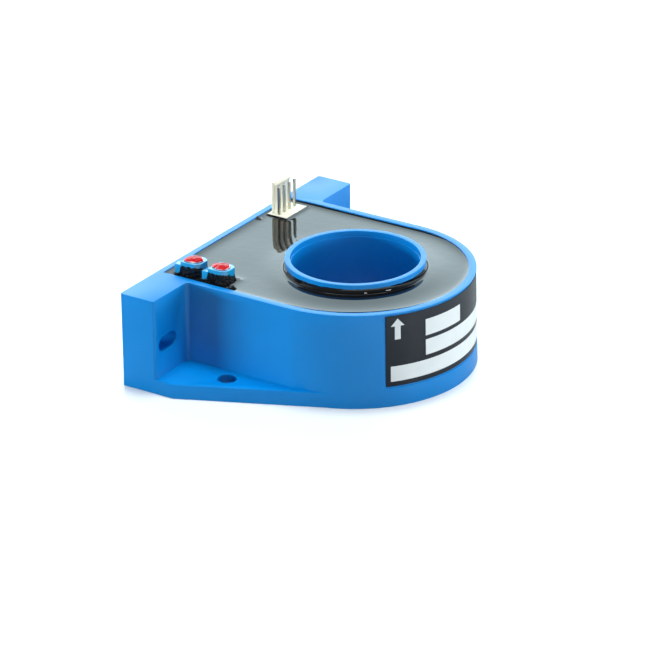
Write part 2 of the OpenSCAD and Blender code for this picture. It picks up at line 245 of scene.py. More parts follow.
def softened(node, width_mm, angle=32):
    """A merged copy of a CAD node's mesh with a small round on its sharp edges."""
    mesh = NODES[node].data.copy()
    mesh.name = node + "_moulding"
    work = bmesh.new()
    work.from_mesh(mesh)
    bmesh.ops.remove_doubles(work, verts=work.verts, dist=1e-6)
    bmesh.ops.dissolve_limit(
        work, angle_limit=math.radians(0.3), verts=work.verts, edges=work.edges,
        delimit={"NORMAL"},
    )
    work.normal_update()
    limit = math.radians(angle)
    edges = [e for e in work.edges if len(e.link_faces) == 2 and e.calc_face_angle(0) > limit]
    bmesh.ops.bevel(
        work, geom=edges, offset=width_mm * MM, offset_type="OFFSET", segments=2, profile=0.5,
        affect="EDGES", clamp_overlap=True, loop_slide=True,
    )
    bmesh.ops.triangulate(work, faces=[f for f in work.faces if len(f.verts) > 4])
    work.to_mesh(mesh)
    work.free()
    mesh.polygons.foreach_set("use_smooth", np.ones(len(mesh.polygons), dtype=bool))
    mesh.set_sharp_from_angle(angle=math.radians(50))
    mesh.update()
    return mesh


# ---------------------------------------------------------------- sizes and colours


class SensorSizes(bpy.types.PropertyGroup):
    """Sizes of the pieces made here, in millimetres."""
    resin_level: bpy.props.FloatProperty(
        name="Resin level", description="Height of the flat of the resin above the base", default=26.2)
    tube_radius: bpy.props.FloatProperty(
        name="Tube radius", description="Outer radius of the bore tube", default=19.2)
    tube_climb: bpy.props.FloatProperty(
        name="Climb on tube", description="Height that resin climbs up the tube", default=1.5)
    tube_mound: bpy.props.FloatProperty(
        name="Mound at tube", description="Height of the broad mound beside the tube, on its near side", default=1.0)
    wall_climb: bpy.props.FloatProperty(
        name="Climb on wall", description="Height that resin climbs up the case wall", default=0.5)
    header_climb: bpy.props.FloatProperty(
        name="Climb on header", description="Height that resin climbs up the wafer", default=0.5)
    resin_wave: bpy.props.FloatProperty(
        name="Resin waves", description="Height of the waves in the cured surface", default=0.0022)
    skirt_high: bpy.props.FloatProperty(
        name="Resin on trimmer front", description="Height of resin on the open side of a trimmer",
        default=3.2)
    skirt_low: bpy.props.FloatProperty(
        name="Resin on trimmer back", description="Height of resin on its sheltered side", default=1.6)
    varnish_radius: bpy.props.FloatProperty(
        name="Varnish radius", description="Radius of the red drop on each rotor", default=2.35)
    varnish_height: bpy.props.FloatProperty(
        name="Varnish height", description="Height of the red drop above the rotor", default=0.95)
    print_height: bpy.props.FloatProperty(
        name="Print thickness", description="Thickness of the white ink on the label", default=0.03)
    edge_round: bpy.props.FloatProperty(
        name="Edge round", description="Round on the moulded edges of the case", default=0.16)


class SensorColours(bpy.types.PropertyGroup):
    """Colours of the finishes."""
    case: bpy.props.FloatVectorProperty(
        name="Case", description="Blue of the moulded case", subtype="COLOR", size=4,
        default=linear("0081D1"))
    trimmer: bpy.props.FloatVectorProperty(
        name="Trimmers", description="Blue of the trimmer bodies", subtype="COLOR", size=4,
        default=linear("1B93CC"))
    header: bpy.props.FloatVectorProperty(
        name="Header", description="Ivory of the header", subtype="COLOR", size=4,
        default=linear("E0E1CF"))
    varnish: bpy.props.FloatVectorProperty(
        name="Varnish", description="Red of the locking varnish", subtype="COLOR", size=4,
        default=linear("BA1019"))
    film: bpy.props.FloatVectorProperty(
        name="Label film", description="Dark grey of the label", subtype="COLOR", size=4,
        default=linear("18202A"))
    ink: bpy.props.FloatVectorProperty(
        name="Label print", description="White of the label's print", subtype="COLOR", size=4,
        default=linear("DCE6EA"))


class SensorStudio(bpy.types.PropertyGroup):
    """Camera and light."""
    azimuth: bpy.props.FloatProperty(
        name="Camera azimuth", description="Turn of the camera from the -Y side towards +X",
        subtype="ANGLE", default=math.radians(33.485))
    elevation: bpy.props.FloatProperty(
        name="Camera elevation", description="Height angle of the camera", subtype="ANGLE",
        default=math.radians(24.537))
    roll: bpy.props.FloatProperty(
        name="Camera roll", description="Roll of the camera", subtype="ANGLE",
        default=math.radians(-0.687))
    distance: bpy.props.FloatProperty(
        name="Camera distance", description="Distance to the point aimed at", subtype="DISTANCE",
        default=1.2006)
    aim: bpy.props.FloatVectorProperty(
        name="Camera aim", description="Point that the camera aims at", subtype="TRANSLATION",
        default=(-0.006914, -0.001221, 0.006125))
    lens: bpy.props.FloatProperty(
        name="Focal length", description="Focal length in millimetres", default=238.2)
    world_light: bpy.props.FloatProperty(
        name="World light", description="Even light from the sides", default=0.24)
    key_light: bpy.props.FloatProperty(
        name="Key light", description="Radiance of the soft box at the left", default=41.0)
    fill_light: bpy.props.FloatProperty(
        name="Fill light", description="Radiance of the soft box at the right", default=21.0)
    glint_light: bpy.props.FloatProperty(
        name="Glint light", description="Radiance of the small lamps that make glints", default=32.0)
    top_light: bpy.props.FloatProperty(
        name="Top light", description="Radiance of the soft box overhead", default=18.5)
    strip_light: bpy.props.FloatProperty(
        name="Strip light", description="Radiance of the strip that only reflections show", default=1.8)
    far_light: bpy.props.FloatProperty(
        name="Far light", description="Radiance of the soft box behind the object", default=1.95)


# ---------------------------------------------------------------- finishes


def case_plastic(colours):
    """Injection-moulded ABS, blue right through: satin, with a fine spark-eroded mould texture."""
    material = surface(
        "moulded_blue_abs", tuple(colours.case), 0.36, 0.35, 0.012, vary=0.025, swing=0.05,
        IOR=1.54)
    return material


def potting_epoxy():
    """Poured black epoxy: a liquid surface set hard, mirror smooth with a few specks of dust."""
    material, tree, shader, where = new_material("poured_black_epoxy")
    cloud = noise(tree, where, 14, 2.0)
    tint = ramp(tree, cloud, [(0.3, linear("0B0C0E")), (0.7, linear("131416"))])
    gloss = add(tree, "MapRange", {
        "Value": noise(tree, where, 5, 3.0), "From Min": 0.35, "From Max": 0.7,
        "To Min": 0.025, "To Max": 0.05,
    }).outputs["Result"]
    dust = ramp(tree, noise(tree, where, 0.5, 1.0), [(0.74, linear("000000")), (0.8, linear("FFFFFF"))])
    bump = add(tree, "Bump", {"Height": dust, "Strength": 0.5, "Distance": 0.01 * MM})
    tree.links.new(tint, shader.inputs["Base Color"])
    tree.links.new(gloss, shader.inputs["Roughness"])
    tree.links.new(bump.outputs["Normal"], shader.inputs["Normal"])
    shader.inputs["IOR"].default_value = 1.58
    return material


def dabbed_epoxy():
    """The same epoxy dabbed on by brush round the trimmers: lumpy, with bright glints."""
    return surface(
        "dabbed_black_epoxy", linear("08080A"), 0.06, 0.8, 0.03, vary=0.3, swing=0.04,
        blotch_mm=0.8, IOR=1.58)


def label_film(colours):
    """Polyester label film: dark, smooth and a little glossy."""
    return surface(
        "polyester_label_film", tuple(colours.film), 0.32, 1.2, 0.002, vary=0.08, swing=0.03,
        IOR=1.57, Specular_IOR_Level=0.3)


def label_ink(colours):
    """White screen ink, matt beside the film."""
    return surface(
        "screened_white_ink", tuple(colours.ink), 0.42, 0.3, 0.004, vary=0.02, swing=0.05,
        blotch_mm=3.0, IOR=1.5)


def header_nylon(colours):
    """Moulded nylon, ivory and slightly see-through, with faint flow marks."""
    return surface(
        "moulded_ivory_nylon", tuple(colours.header), 0.36, 0.5, 0.01, vary=0.03, swing=0.08,
        blotch_mm=2.5, IOR=1.53, Subsurface_Weight=0.3, Subsurface_Scale=0.6 * MM,
        Subsurface_Radius=(1.0, 0.9, 0.75))


def trimmer_plastic(colours):
    """Moulded polyester of the trimmer bodies: light blue, satin."""
    return surface(
        "moulded_light_blue_polyester", tuple(colours.trimmer), 0.26, 0.25, 0.012, vary=0.07,
        swing=0.08, blotch_mm=1.2, IOR=1.6, Coat_Weight=1.0, Coat_Roughness=0.15)


def rotor_nylon():
    """Moulded white nylon of the rotors."""
    return surface(
        "moulded_white_nylon", linear("E9E6DE"), 0.4, 0.3, 0.01, vary=0.05, swing=0.08,
        blotch_mm=1.0, IOR=1.53)


def locking_lacquer(colours):
    """Brushed-on red lacquer: glossy, deep red where thick and pink where it thins out at its rim."""
    material, tree, shader, where = new_material("brushed_red_lacquer")
    thick = add(tree, "Attribute", attribute_name="thickness").outputs["Fac"]
    patch = add(tree, "Math", {
        0: thick,
        1: add(tree, "Math", {0: noise(tree, where, 0.8, 3.0), 1: 0.5}, operation="SUBTRACT").outputs[0],
    }, operation="ADD").outputs[0]
    red = tuple(colours.varnish)
    tint = ramp(tree, patch, [
        (0.0, linear("DB8E9A")), (0.1, linear("CB303D")), (0.22, red), (0.95, shade(red, 0.8)),
    ])
    bump = add(tree, "Bump", {"Height": noise(tree, where, 0.45, 2.0), "Strength": 1.0, "Distance": 0.03 * MM})
    tree.links.new(tint, shader.inputs["Base Color"])
    tree.links.new(bump.outputs["Normal"], shader.inputs["Normal"])
    shader.inputs["Roughness"].default_value = 0.22
    shader.inputs["Specular IOR Level"].default_value = 0.22
    shader.inputs["Coat Weight"].default_value = 0.1
    shader.inputs["Coat Roughness"].default_value = 0.06
    return material


def tinned_brass():
    """Drawn brass wire, tin plated: soft metal shine with faint lines along the pin."""
    material, tree, shader, where = new_material("tin_plated_brass")
    along = add(tree, "Mapping", {"Vector": where, "Scale": (1.0, 1.0, 0.04)}).outputs["Vector"]
    lines = noise(tree, along, 0.12, 3.0)
    tint = ramp(tree, lines, [(0.3, linear("C2BFB6")), (0.7, linear("EFEDE6"))])
    gloss = add(tree, "MapRange", {"Value": lines, "To Min": 0.3, "To Max": 0.55}).outputs["Result"]
    bump = add(tree, "Bump", {"Height": lines, "Strength": 1.0, "Distance": 0.004 * MM})
    tree.links.new(tint, shader.inputs["Base Color"])
    tree.links.new(gloss, shader.inputs["Roughness"])
    tree.links.new(bump.outputs["Normal"], shader.inputs["Normal"])
    shader.inputs["Metallic"].default_value = 1.0
    return material


def wound_steel():
    """Silicon-steel strip wound into a ring: bright metal in layers 0.3 mm thick."""
    material, tree, shader, where = new_material("wound_steel_strip")
    split = add(tree, "SeparateXYZ", {"Vector": where})
    flat = add(tree, "CombineXYZ", {"X": split.outputs["X"], "Y": split.outputs["Y"], "Z": 0.0})
    reach = add(tree, "VectorMath", {0: flat.outputs["Vector"]}, operation="LENGTH").outputs["Value"]
    layer = add(tree, "Math", {0: reach, 1: 2 * math.pi / (0.3 * MM)}, operation="MULTIPLY").outputs[0]
    wave = add(tree, "Math", {0: layer}, operation="SINE").outputs[0]
    tint = ramp(tree, wave, [(0.0, linear("5E6165")), (0.5, linear("A2A5A8"))])
    bump = add(tree, "Bump", {"Height": wave, "Strength": 0.6, "Distance": 0.03 * MM})
    tree.links.new(tint, shader.inputs["Base Color"])
    tree.links.new(bump.outputs["Normal"], shader.inputs["Normal"])
    shader.inputs["Metallic"].default_value = 1.0
    shader.inputs["Roughness"].default_value = 0.34
    return material


def board_mask():
    """Green solder mask over woven glass laminate: threads about 0.5 mm apart show through."""
    material, tree, shader, where = new_material("solder_masked_laminate")
    weave = add(tree, "TexChecker", {
        "Vector": where, "Scale": 1 / (0.5 * MM), "Color1": linear("1C4D2B"), "Color2": linear("245C35"),
    })
    bump = add(tree, "Bump", {"Height": weave.outputs["Fac"], "Strength": 0.4, "Distance": 0.02 * MM})
    tree.links.new(weave.outputs["Color"], shader.inputs["Base Color"])
    tree.links.new(bump.outputs["Normal"], shader.inputs["Normal"])
    shader.inputs["Roughness"].default_value = 0.3
    return material


def inner_finishes():
    """Finishes of the pieces that the resin covers, by name."""
    return {
        "strip_steel": wound_steel(),
        "solder_mask": board_mask(),
        # Transfer-moulded epoxy: matt black with a fine blasted texture
        "moulded_epoxy": surface("moulded_black_epoxy", linear("17181A"), 0.55, 0.15, 0.01, IOR=1.6),
        # Copper wire dipped in tin: soft silver shine
        "tinned_wire": surface(
            "tin_dipped_copper", linear("C9C8C4"), 0.28, 0.3, 0.01, blotch_mm=1.5, Metallic=1.0),
        # Alumina chip with a glass glaze: dark and glossy
        "glazed_alumina": surface("glazed_alumina", linear("26282C"), 0.2, 0.4, 0.005, IOR=1.6),
        # Fired titanate ceramic: tan and matt
        "fired_titanate": surface("fired_titanate", linear("A9895F"), 0.5, 0.2, 0.01, blotch_mm=1.0),
        # Moulded epoxy of the tantalum capacitors: ochre, satin
        "yellow_epoxy": surface("moulded_ochre_epoxy", linear("C98F2B"), 0.45, 0.2, 0.01, blotch_mm=2.0),
        # Solder set from the melt: bright, with a frosty grain
        "reflowed_solder": surface(
            "set_solder", linear("C4C5C6"), 0.3, 0.25, 0.02, blotch_mm=0.8, Metallic=1.0),
    }


# ---------------------------------------------------------------- shapes


def cavity_reach(angle, side, back):
    """Distance from the bore axis to the case wall: a half circle in front, straight sides behind."""
    c, s = np.cos(angle), np.sin(angle)
    straight = np.minimum(
        side / np.maximum(np.abs(s), 1e-9), back / np.maximum(-c, 1e-9))
    return np.where(c >= 0, side, straight)


def box_gap(x, y, low, high):
    """Distance from points to a rectangle, 0 inside it."""
    dx = np.maximum(np.maximum(low[0] - x, x - high[0]), 0)
    dy = np.maximum(np.maximum(low[1] - y, y - high[1]), 0)
    return np.hypot(dx, dy)


BUBBLE_AT = (-30.6, -27.7)
DIMPLE_AT = (-21.8, -28.5)
SMEAR_AT = (-41.7, 14.6)
MOUND_ANGLE = math.radians(-56)


def resin_height(x, y, angle, tube_gap, wall_gap, sizes):
    """Height of the resin in mm over a point.

    The level, plus a climb that falls off exponentially with distance from the tube, and the
    highest of the like climbs on the wall, the header and the trimmers, plus long and short
    ripples, a burst bubble's rim, a dimple and a smear up the back wall.
    """
    ragged = 0.05 * np.sin(3 * angle + 0.7) + 0.02 * np.sin(13 * angle)
    ragged = ragged + 0.02 * np.sin(31 * angle + 1.1) + 0.015 * np.sin(53 * angle + 2.0)
    z = sizes.resin_level + sizes.tube_climb * (1 + ragged) * np.exp(-tube_gap / 0.22)
    near_side = 0.36 + 0.64 * ((1 + np.cos(angle - MOUND_ANGLE)) / 2) ** 2
    z += sizes.tube_mound * near_side * np.exp(-(tube_gap / 4.8) ** 2)
    climbs = [
        sizes.wall_climb * np.exp(-wall_gap / 0.9),
        sizes.header_climb * np.exp(-box_gap(x, y, WAFER_LOW, WAFER_HIGH) / 0.4),
    ]
    for name in TRIMMERS:
        low, high = node_box(name + "_body")
        climbs.append(0.6 * np.exp(-box_gap(x, y, low, high) / 0.7))
    z += np.maximum.reduce(climbs)
    smear = np.hypot((x - SMEAR_AT[0]) / 0.9, (y - SMEAR_AT[1]) / 0.55)
    z += 0.45 * np.exp(-smear ** 2)
    z += sizes.resin_wave * ripple(x, y, 5.0, 9, 3)
    z += 0.6 * sizes.resin_wave * ripple(x, y, 2.4, 9, 4)
    z += 9.0 * sizes.resin_wave * ripple(x, y, 26.0, 5, 5)
    bubble = np.hypot(x - BUBBLE_AT[0], y - BUBBLE_AT[1])
    z += 0.32 * np.exp(-((bubble - 1.05) / 0.24) ** 2) - 0.1 * np.exp(-(bubble / 0.7) ** 2)
    dimple = np.hypot((x - DIMPLE_AT[0]) / 1.7, (y - DIMPLE_AT[1]) / 0.9)
    z -= 0.3 * np.exp(-dimple ** 4)
    return z


def resin_body(sizes):
    """The pour as one closed shell.

    Around the bore axis runs an angle, closer together behind, with lines on both back corners.
    Across runs a loop: up the tube, out over the surface with points crowded at both ends, down
    the wall and back along the floor. The surface dips 0.05 mm into tube and wall, so no gap shows.
    """
    side, back = RESIN_HIGH[0], -RESIN_LOW[0]
    corner = math.atan2(side, -back)
    half = math.pi / 2
    angle = np.concatenate([
        np.linspace(-half, half, 190, endpoint=False),
        np.linspace(half, corner, 150, endpoint=False),
        np.linspace(corner, 2 * math.pi - corner, 200, endpoint=False),
        np.linspace(2 * math.pi - corner, 3 * half, 150, endpoint=False),
    ])
    t = np.linspace(0, 1, 134)
    across = t - 0.72 * np.sin(2 * np.pi * t) / (2 * np.pi)
    into = 0.05
    inner = sizes.tube_radius - into
    outer = cavity_reach(angle, side + into, back + into)
    r = inner + across[:, None] * (outer - inner)[None, :]
    x, y = r * np.cos(angle), r * np.sin(angle)
    wall_gap = np.minimum(
        np.where(x > 0, side - np.hypot(x, y), side - np.abs(y)), back + x)
    z = resin_height(
        x, y, angle[None, :], np.maximum(r - sizes.tube_radius, 0), np.maximum(wall_gap, 0), sizes)
    top = np.stack([x, y, z], -1)
    floor_z = RESIN_LOW[2]
    low_in = np.stack([x[0], y[0], np.full_like(x[0], floor_z)], -1)
    low_out = np.stack([x[-1], y[-1], np.full_like(x[-1], floor_z)], -1)
    return shell(np.concatenate([low_in[None], top, low_out[None]]), closed=True)


def trimmer_outline(name, steps=260):
    """Points round a trimmer's foot, 1 to 2 hundredths of a mm of smoothing at its corners.

    The outline is the body's square with two clipped corners and its shoulder, walked at even
    steps and then averaged over a short window.
    """
    low, high = node_box(name + "_body")
    x1, y0, y1 = high[0], low[1], high[1]
    width = y1 - y0
    x0 = x1 - width
    step_y = y0 + 3.2
    clip = TRIMMER_CLIP
    corners = np.array([
        (low[0], y0), (x1 - clip, y0), (x1, y0 + clip), (x1, y1 - clip), (x1 - clip, y1),
        (x0, y1), (x0, step_y), (low[0], step_y), (low[0], y0),
    ])
    lengths = np.concatenate([[0], np.cumsum(np.hypot(*np.diff(corners, axis=0).T))])
    walk = np.linspace(0, lengths[-1], steps, endpoint=False)
    path = np.stack([np.interp(walk, lengths, corners[:, k]) for k in (0, 1)], -1)
    window = 3
    path = sum(np.roll(path, n, axis=0) for n in range(-window, window + 1)) / (2 * window + 1)
    return path, (x0, x1, y0, y1)


def skirt_body(name, sizes, seed):
    """Resin dabbed round a trimmer: a thin wedge carried along its outline.

    The wedge is 0.5 mm thick at its foot and thins towards its top edge. Its height follows the
    side of the body it is on, and ripples in space make it lumpy. It is closed inside the body.
    """
    path, (x0, x1, y0, y1) = trimmer_outline(name)
    ahead, behind = np.roll(path, -3, axis=0), np.roll(path, 3, axis=0)
    run = ahead - behind
    out = np.stack([run[:, 1], -run[:, 0]], -1)
    out /= np.linalg.norm(out, axis=1)[:, None]
    x, y = path[:, 0], path[:, 1]
    front = np.clip((y1 - y) / (y1 - y0), 0, 1)
    height = sizes.skirt_low + (sizes.skirt_high - sizes.skirt_low) * np.minimum(1.25 * front, 1) ** 1.5
    on_shoulder = 1 / (1 + np.exp((x - x0 + 0.15) / 0.12))
    height = height * (1 - on_shoulder) + 0.75 * on_shoulder
    height = height + 0.16 * ripple(x, y, 1.5, 6, seed) + 0.07 * ripple(x, y, 0.6, 6, seed + 1)
    v = np.linspace(0, 1, 22)[:, None]
    z = sizes.resin_level - 0.25 + v * (height[None, :] + 0.25)
    thick = 0.07 + 0.34 * (1 - v) ** 0.8 * (1 - 0.4 * v) + 0.45 * np.exp(-(z - sizes.resin_level + 0.1) / 0.3)
    thick = np.where(v > 0.93, thick * np.sqrt(np.clip((1 - v) / 0.07, 0, 1)), thick)
    flat = np.stack([np.broadcast_to(x, z.shape), np.broadcast_to(y, z.shape), z], -1)
    thick = thick + (0.12 * lumps(flat, 0.9, 14, seed + 2) + 0.07 * lumps(flat, 0.45, 14, seed + 3)) * (1 - v ** 6)
    outer = flat.copy()
    outer[..., :2] += np.maximum(thick, 0.03)[..., None] * out[None]
    inner_top, inner_low = flat[-1].copy(), flat[0].copy()
    inner_top[:, :2] -= 0.3 * out
    inner_low[:, :2] -= 0.3 * out
    return shell(np.concatenate([outer, inner_top[None], inner_low[None]]), closed=True)


def varnish_body(name, sizes, seed):
    """A drop of lacquer: a dome whose rim wanders, taller on one side, closed flat underneath.

    The height over a point is the drop's height times (1 - s squared) ** 0.62, where s runs from
    0 at its middle to 1 at its rim, times 0.72 + 0.28 s cos(turn), which makes it lean to +X, times
    1 plus small ripples.
    """
    low, high = node_box(name + "_varnish")
    middle = (low + high) / 2 + np.array([-0.35, -0.05, 0])
    base = high[2] - 0.8 - 0.04
    turn = np.linspace(0, 2 * np.pi, 96, endpoint=False)
    rim = sizes.varnish_radius * (
        1 + 0.10 * np.sin(2 * turn + seed) + 0.07 * np.sin(3 * turn + 2.1 * seed) + 0.04 * np.sin(7 * turn))
    s = np.linspace(0, 1, 30)[:, None]
    x = middle[0] + s * rim * np.cos(turn)
    y = middle[1] + s * rim * np.sin(turn)
    bulge = (1 - s ** 2) ** 0.62
    lean = 0.72 + 0.28 * s * np.cos(turn)
    z = base + sizes.varnish_height * bulge * lean * (1 + 0.1 * ripple(x, y, 1.6, 5, seed + 5))
    top = np.stack([x, y, np.broadcast_to(z, x.shape)], -1)
    under = top[::-1].copy()
    under[..., 2] = base - 0.06
    thickness = np.concatenate([bulge * lean ** 2, np.zeros(x.shape)])
    points, faces = shell(np.concatenate([top, under]))
    return points, faces, thickness.reshape(-1)


# Label print: angle round the bore from +X in degrees, and height above the base in mm
ARROW_ANGLES = (-40.6, -33.8)
ARROW_HEIGHTS = (19.3, 23.15, 25.3)
ARROW_STEM = 0.42
PANELS = {
    "upper_panel": ((-22.5, 1.25), (18.6, 23.3)),
    "middle_panel": ((-22.5, 40.6), (12.95, 17.45)),
    "lower_panel": ((-40.75, 40.6), (7.2, 11.6)),
}


def film_skin(z):
    """Radius of the label's outer face at height z, on the drafted round end."""
    slope = 0.3 / 27
    base_radius = LABEL_HIGH[0] + slope * LABEL_LOW[2]
    return base_radius - slope * z


def ink_body(left, right, low, high, thick, across=48, up=10):
    """A thin slab of ink on the label: angle runs between two edges that may change with height.

    left and right are functions of the height share 0 to 1, in degrees. The slab's outer and
    inner faces follow the film at thick above it and just below it.
    """
    s = np.linspace(0, 1, up + 1)[:, None]
    t = np.linspace(0, 1, across + 1)[None, :]
    angle = np.radians(left(s) + (right(s) - left(s)) * t)
    z = low + (high - low) * s + 0 * t
    sheets = []
    for lift in (thick, -0.02):
        radius = film_skin(z) + lift
        sheets.append(np.stack([radius * np.cos(angle), radius * np.sin(angle), z], -1))
    outer, inner = sheets
    loop = np.concatenate([outer, inner[:, ::-1]], axis=1)
    first = np.concatenate([outer[:1], outer[:1, ::-1]], axis=1)
    last = np.concatenate([outer[-1:], outer[-1:, ::-1]], axis=1)
    return loop, outer, inner


def ink_mesh(name, patches, thick):
    """One mesh from several ink slabs, each a closed box of faces over its two sheets."""
    all_points, all_faces, start = [], [], 0
    for left, right, low, high in patches:
        _, outer, inner = ink_body(left, right, low, high, thick)
        rows, cols = outer.shape[:2]
        ids = np.arange(rows * cols).reshape(rows, cols)
        back = ids + rows * cols

        def sheet(a, b, c, d):
            return np.stack([a.ravel(), b.ravel(), c.ravel(), d.ravel()], -1)

        faces = [
            sheet(ids[:-1, :-1], ids[:-1, 1:], ids[1:, 1:], ids[1:, :-1]),
            sheet(back[:-1, :-1], back[1:, :-1], back[1:, 1:], back[:-1, 1:]),
            sheet(ids[0, :-1], back[0, :-1], back[0, 1:], ids[0, 1:]),
            sheet(ids[-1, :-1], ids[-1, 1:], back[-1, 1:], back[-1, :-1]),
            sheet(ids[:-1, 0], ids[1:, 0], back[1:, 0], back[:-1, 0]),
            sheet(ids[:-1, -1], back[:-1, -1], back[1:, -1], ids[1:, -1]),
        ]
        all_points += [outer.reshape(-1, 3), inner.reshape(-1, 3)]
        all_faces.append(np.concatenate(faces) + start)
        start += 2 * rows * cols
    return mesh_from(name, np.concatenate(all_points), np.concatenate(all_faces))


# ---------------------------------------------------------------- operators


class SENSOR_OT_stage(bpy.types.Operator):
    """White floor, soft boxes, world and camera"""
    bl_idname = "sensor.stage"
    bl_label = "Stage, light and camera"

    def execute(self, context):
        studio = context.scene.sensor_studio
        self.floor(studio)
        self.world(studio)
        behind = 180 + math.degrees(studio.azimuth)
        self.soft_box("key_box", -44, 4.5, 1.7, 0.7, 0.24, studio.key_light, glossy=False)
        self.soft_box("fill_box", 106, 5, 1.7, 1.0, 0.28, studio.fill_light, glossy=False)
        self.soft_box("strip_box", behind, 76, 1.8, 1.3, 0.45, studio.strip_light, diffuse=False)
        self.soft_box("near_glint", 48, 26, 1.7, 0.14, 0.1, studio.glint_light, diffuse=False)
        self.soft_box("right_glint", 88, 24, 1.7, 0.2, 0.1, studio.glint_light, diffuse=False)
        self.soft_box("top_box", 150, 87, 1.8, 0.7, 0.7, studio.top_light, glossy=False)
        self.soft_box("far_box", behind, 30, 1.8, 3.0, 1.3, studio.far_light, tint=(0.72, 0.93, 1.0))
        self.camera(context, studio)
        return {"FINISHED"}

    def floor(self, studio):
        """A wide sheet of white paper whose own glow keeps it white, so only shadow shows on it.

        To reflections its near part is painted dim, as painted shade, and its far right part gets a painted glow; to
        bounced light all of it is dim, as in a dark room.
        """
        half = 3.0
        mesh = bpy.data.meshes.new("floor")
        mesh.from_pydata([(-half, -half, 0), (half, -half, 0), (half, half, 0), (-half, half, 0)], [], [(0, 1, 2, 3)])
        floor = bpy.data.objects.new("floor", mesh)
        bpy.context.scene.collection.objects.link(floor)
        material, tree, shader, where = new_material("white_paper_floor")
        shader.inputs["Roughness"].default_value = 0.22
        shader.inputs["Emission Color"].default_value = (1, 1, 1, 1)
        path = add(tree, "LightPath")
        angle = math.radians(60)
        far_right = (math.sin(studio.azimuth + angle), -math.cos(studio.azimuth + angle), 0.0)
        away = add(tree, "VectorMath", {0: where, 1: far_right}, operation="DOT_PRODUCT").outputs["Value"]
        # Painted shade in reflections: glossy rays see the floor dim on its near side and full white towards the far
        # right
        painted_reflection_level = add(tree, "MapRange", {
            "Value": away, "From Min": -0.02, "From Max": 0.18, "To Min": 0.12, "To Max": 1.0,
        }, interpolation_type="SMOOTHSTEP").outputs["Result"]
        unseen = add(tree, "Mix", {
            "Factor": path.outputs["Is Glossy Ray"], "A": 0.5, "B": painted_reflection_level}).outputs["Result"]
        level = add(tree, "Mix", {
            "Factor": path.outputs["Is Camera Ray"], "A": unseen, "B": 0.88}).outputs["Result"]
        tint = add(tree, "VectorMath", {0: level, 1: (0.95, 1.0, 0.99)}, operation="MULTIPLY").outputs["Vector"]
        tree.links.new(tint, shader.inputs["Base Color"])
        # Painted glow: the floor emits light to glossy rays only, strongest on its far right part, so reflections
        # show it bright
        painted_glow = add(tree, "Math", {0: painted_reflection_level, 1: 0.35}, operation="MULTIPLY").outputs[0]
        painted_glow_to_reflections = add(tree, "Mix", {
            "Factor": path.outputs["Is Glossy Ray"], "A": 0.0, "B": painted_glow}).outputs["Result"]
        glow = add(tree, "Mix", {
            "Factor": path.outputs["Is Camera Ray"], "A": painted_glow_to_reflections, "B": 0.04}).outputs["Result"]
        tree.links.new(glow, shader.inputs["Emission Strength"])
        mesh.materials.append(material)

    def world(self, studio):
        """Even light; white for the camera; in reflections bright low down and behind the object."""
        world = bpy.data.worlds.new("white_surround")
        world.use_nodes = True
        tree = world.node_tree
        tree.nodes.clear()
        path = add(tree, "LightPath")
        way = add(tree, "TexCoord").outputs["Generated"]
        height = add(tree, "SeparateXYZ", {"Vector": way}).outputs["Z"]
        fall = add(tree, "MapRange", {
            "Value": height, "From Min": 0.15, "From Max": 0.6, "To Min": 1.0, "To Max": 0.1,
        }, interpolation_type="SMOOTHSTEP").outputs["Result"]
        level = add(tree, "Math", {0: fall, 1: studio.world_light}, operation="MULTIPLY").outputs[0]
        soft = add(tree, "Background", {"Color": (0.93, 0.97, 1, 1), "Strength": level})
        far = (-math.sin(studio.azimuth), math.cos(studio.azimuth), 0.0)
        behind = add(tree, "VectorMath", {0: way, 1: far}, operation="DOT_PRODUCT").outputs["Value"]
        back = add(tree, "MapRange", {
            "Value": behind, "From Min": -0.5, "From Max": 0.3, "To Min": 0.15, "To Max": 1.0,
        }, interpolation_type="SMOOTHSTEP").outputs["Result"]
        shine = add(tree, "Math", {0: fall, 1: back}, operation="MULTIPLY").outputs[0]
        mirror = add(tree, "Background", {"Color": (0.86, 0.96, 1, 1), "Strength": shine})
        white = add(tree, "Background", {"Color": (1, 1, 1, 1), "Strength": 1.0})
        lit = add(tree, "MixShader", {
            0: path.outputs["Is Glossy Ray"], 1: soft.outputs[0], 2: mirror.outputs[0]})
        seen = add(tree, "MixShader", {
            0: path.outputs["Is Camera Ray"], 1: lit.outputs[0], 2: white.outputs[0]})
        add(tree, "OutputWorld", {"Surface": seen.outputs[0]})
        bpy.context.scene.world = world

    def soft_box(self, name, azimuth, elevation, distance, wide, high, radiance, tint=(1, 1, 1), glossy=True, diffuse=True):
        """An area lamp that faces the object. Its power is 4 x area x radiance."""
        lamp = bpy.data.lights.new(name, "AREA")
        lamp.shape = "RECTANGLE"
        lamp.size, lamp.size_y = wide, high
        lamp.color = tint
        lamp.energy = 4 * wide * high * radiance
        box = bpy.data.objects.new(name, lamp)
        a, e = math.radians(azimuth), math.radians(elevation)
        away = Vector((math.sin(a) * math.cos(e), -math.cos(a) * math.cos(e), math.sin(e)))
        box.location = away * distance
        box.rotation_euler = away.to_track_quat("Z", "Y").to_euler()
        box.visible_camera = False
        box.visible_glossy = glossy
        box.visible_diffuse = diffuse
        bpy.context.scene.collection.objects.link(box)

